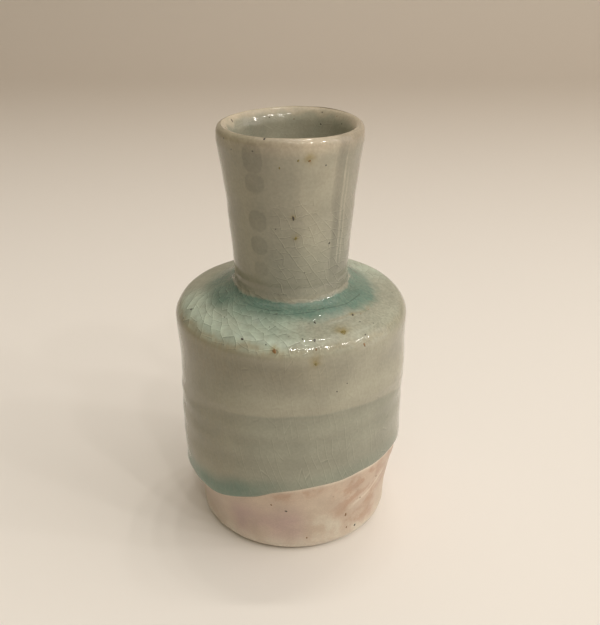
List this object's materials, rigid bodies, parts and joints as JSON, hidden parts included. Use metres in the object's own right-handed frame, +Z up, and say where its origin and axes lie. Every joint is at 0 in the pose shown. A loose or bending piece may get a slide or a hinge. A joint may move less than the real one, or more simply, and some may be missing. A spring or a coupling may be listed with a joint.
{
  "type": "sake bottle",
  "caption": "Wheel-thrown stoneware sake bottle with a flat shoulder, flared pouring neck, crackled celadon glaze pooling at the neck, and a bare clay foot.",
  "frame": {"origin": "middle of the flat resting face under the foot, on the axis the bottle was thrown about", "axes": "+Z up through the middle of the mouth; -Y is the pictured front; +X is the side where the glaze's lower edge is high"},
  "size_m": [0.08, 0.08, 0.145],
  "materials": {
    "bare_clay": "unglazed stoneware, flashed pink and beige, faint sheen",
    "slip": "joining slip, fired hard",
    "blue_celadon": "semi-opaque blue-grey celadon, glossy, fine upright crackle",
    "grey_celadon": "grey-green celadon, glossy, wide slanting crackle, thin and brown over edges",
    "lining_celadon": "grey-green celadon, glossy",
    "pooled_celadon": "thick turquoise celadon, glassy, layered crackle",
    "rolled_celadon": "thick blue-green bead at the glaze's edge, glassy"
  },
  "bodies": {
    "root": {"clay_body": "bare_clay", "clay_neck": "bare_clay", "luting_ring": "slip", "first_coat": "blue_celadon", "second_coat": "grey_celadon", "inner_glaze": "lining_celadon", "shoulder_pool": "pooled_celadon", "glaze_roll": "rolled_celadon"}
  },
  "joints": []
}
